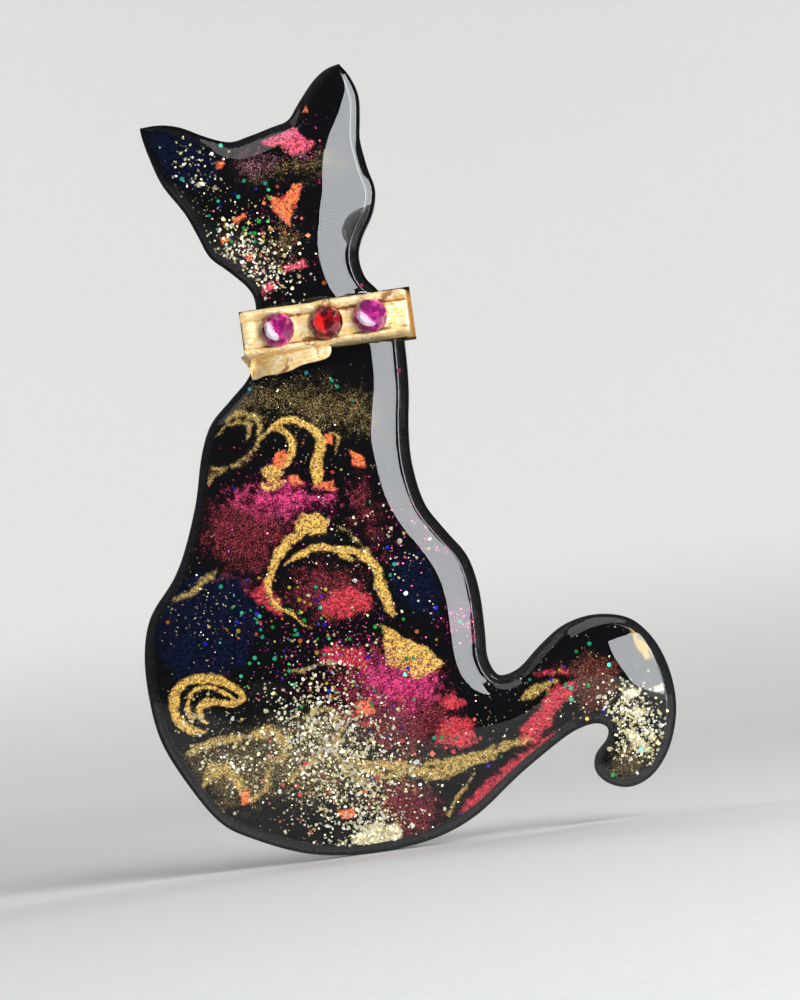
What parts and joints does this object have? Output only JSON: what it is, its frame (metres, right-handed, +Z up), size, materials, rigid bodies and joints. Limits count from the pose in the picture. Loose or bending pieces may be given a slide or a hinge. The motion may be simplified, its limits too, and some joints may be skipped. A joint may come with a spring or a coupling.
{
  "type": "cat brooch",
  "caption": "Seated-cat brooch in domed clear resin over a marbled mica layer, with a gilt collar of flat-backed stones and a hinged pin with a rotating safety catch.",
  "frame": {"origin": "middle of the pin bar's outer face, where the cloth lies", "axes": "+Z up towards the ears as worn, +X to the right of someone facing the brooch, +Y out of the back towards the cloth"},
  "size_m": [0.045, 0.0117, 0.068],
  "materials": {
    "black_resin": "cast black resin, glossy, sanded edge",
    "marbled_mica": "swirled mica pigments and glitter on black: gold, brick red, magenta, orange and navy",
    "clear_resin": "water-clear domed resin, very glossy",
    "gilt": "hand-painted gold over a rough strip, satin",
    "fuchsia_stone": "faceted foil-backed glass",
    "red_stone": "faceted foil-backed glass",
    "epoxy": "cured clear epoxy, faintly amber",
    "nickel_plate": "nickel-plated brass, worn satin",
    "steel_wire": "drawn and polished steel wire"
  },
  "bodies": {
    "brooch": {"cat_base": "black_resin", "marble_layer": "marbled_mica", "head_dome": "clear_resin", "body_dome": "clear_resin", "collar_band": "gilt", "stone_left": "fuchsia_stone", "stone_middle": "red_stone", "stone_right": "fuchsia_stone", "bar_adhesive": "epoxy", "pin_bar": "nickel_plate", "joint_bracket": "nickel_plate", "joint_rivet": "nickel_plate", "catch_housing": "nickel_plate"},
    "stem": {"pin_stem": "steel_wire"},
    "lock": {"catch_lock": "nickel_plate"}
  },
  "joints": [
    {"name": "stem_swing", "type": "hinge", "parent": "brooch", "child": "stem", "pos_m": [-0.0077, 0.0026, 0], "axis": [0, 0, 1], "range_deg": [0, 80]},
    {"name": "catch_turn", "type": "hinge", "parent": "brooch", "child": "lock", "pos_m": [0.0076, 0.0026, 0], "axis": [1, 0, 0], "range_deg": [0, 150]}
  ]
}
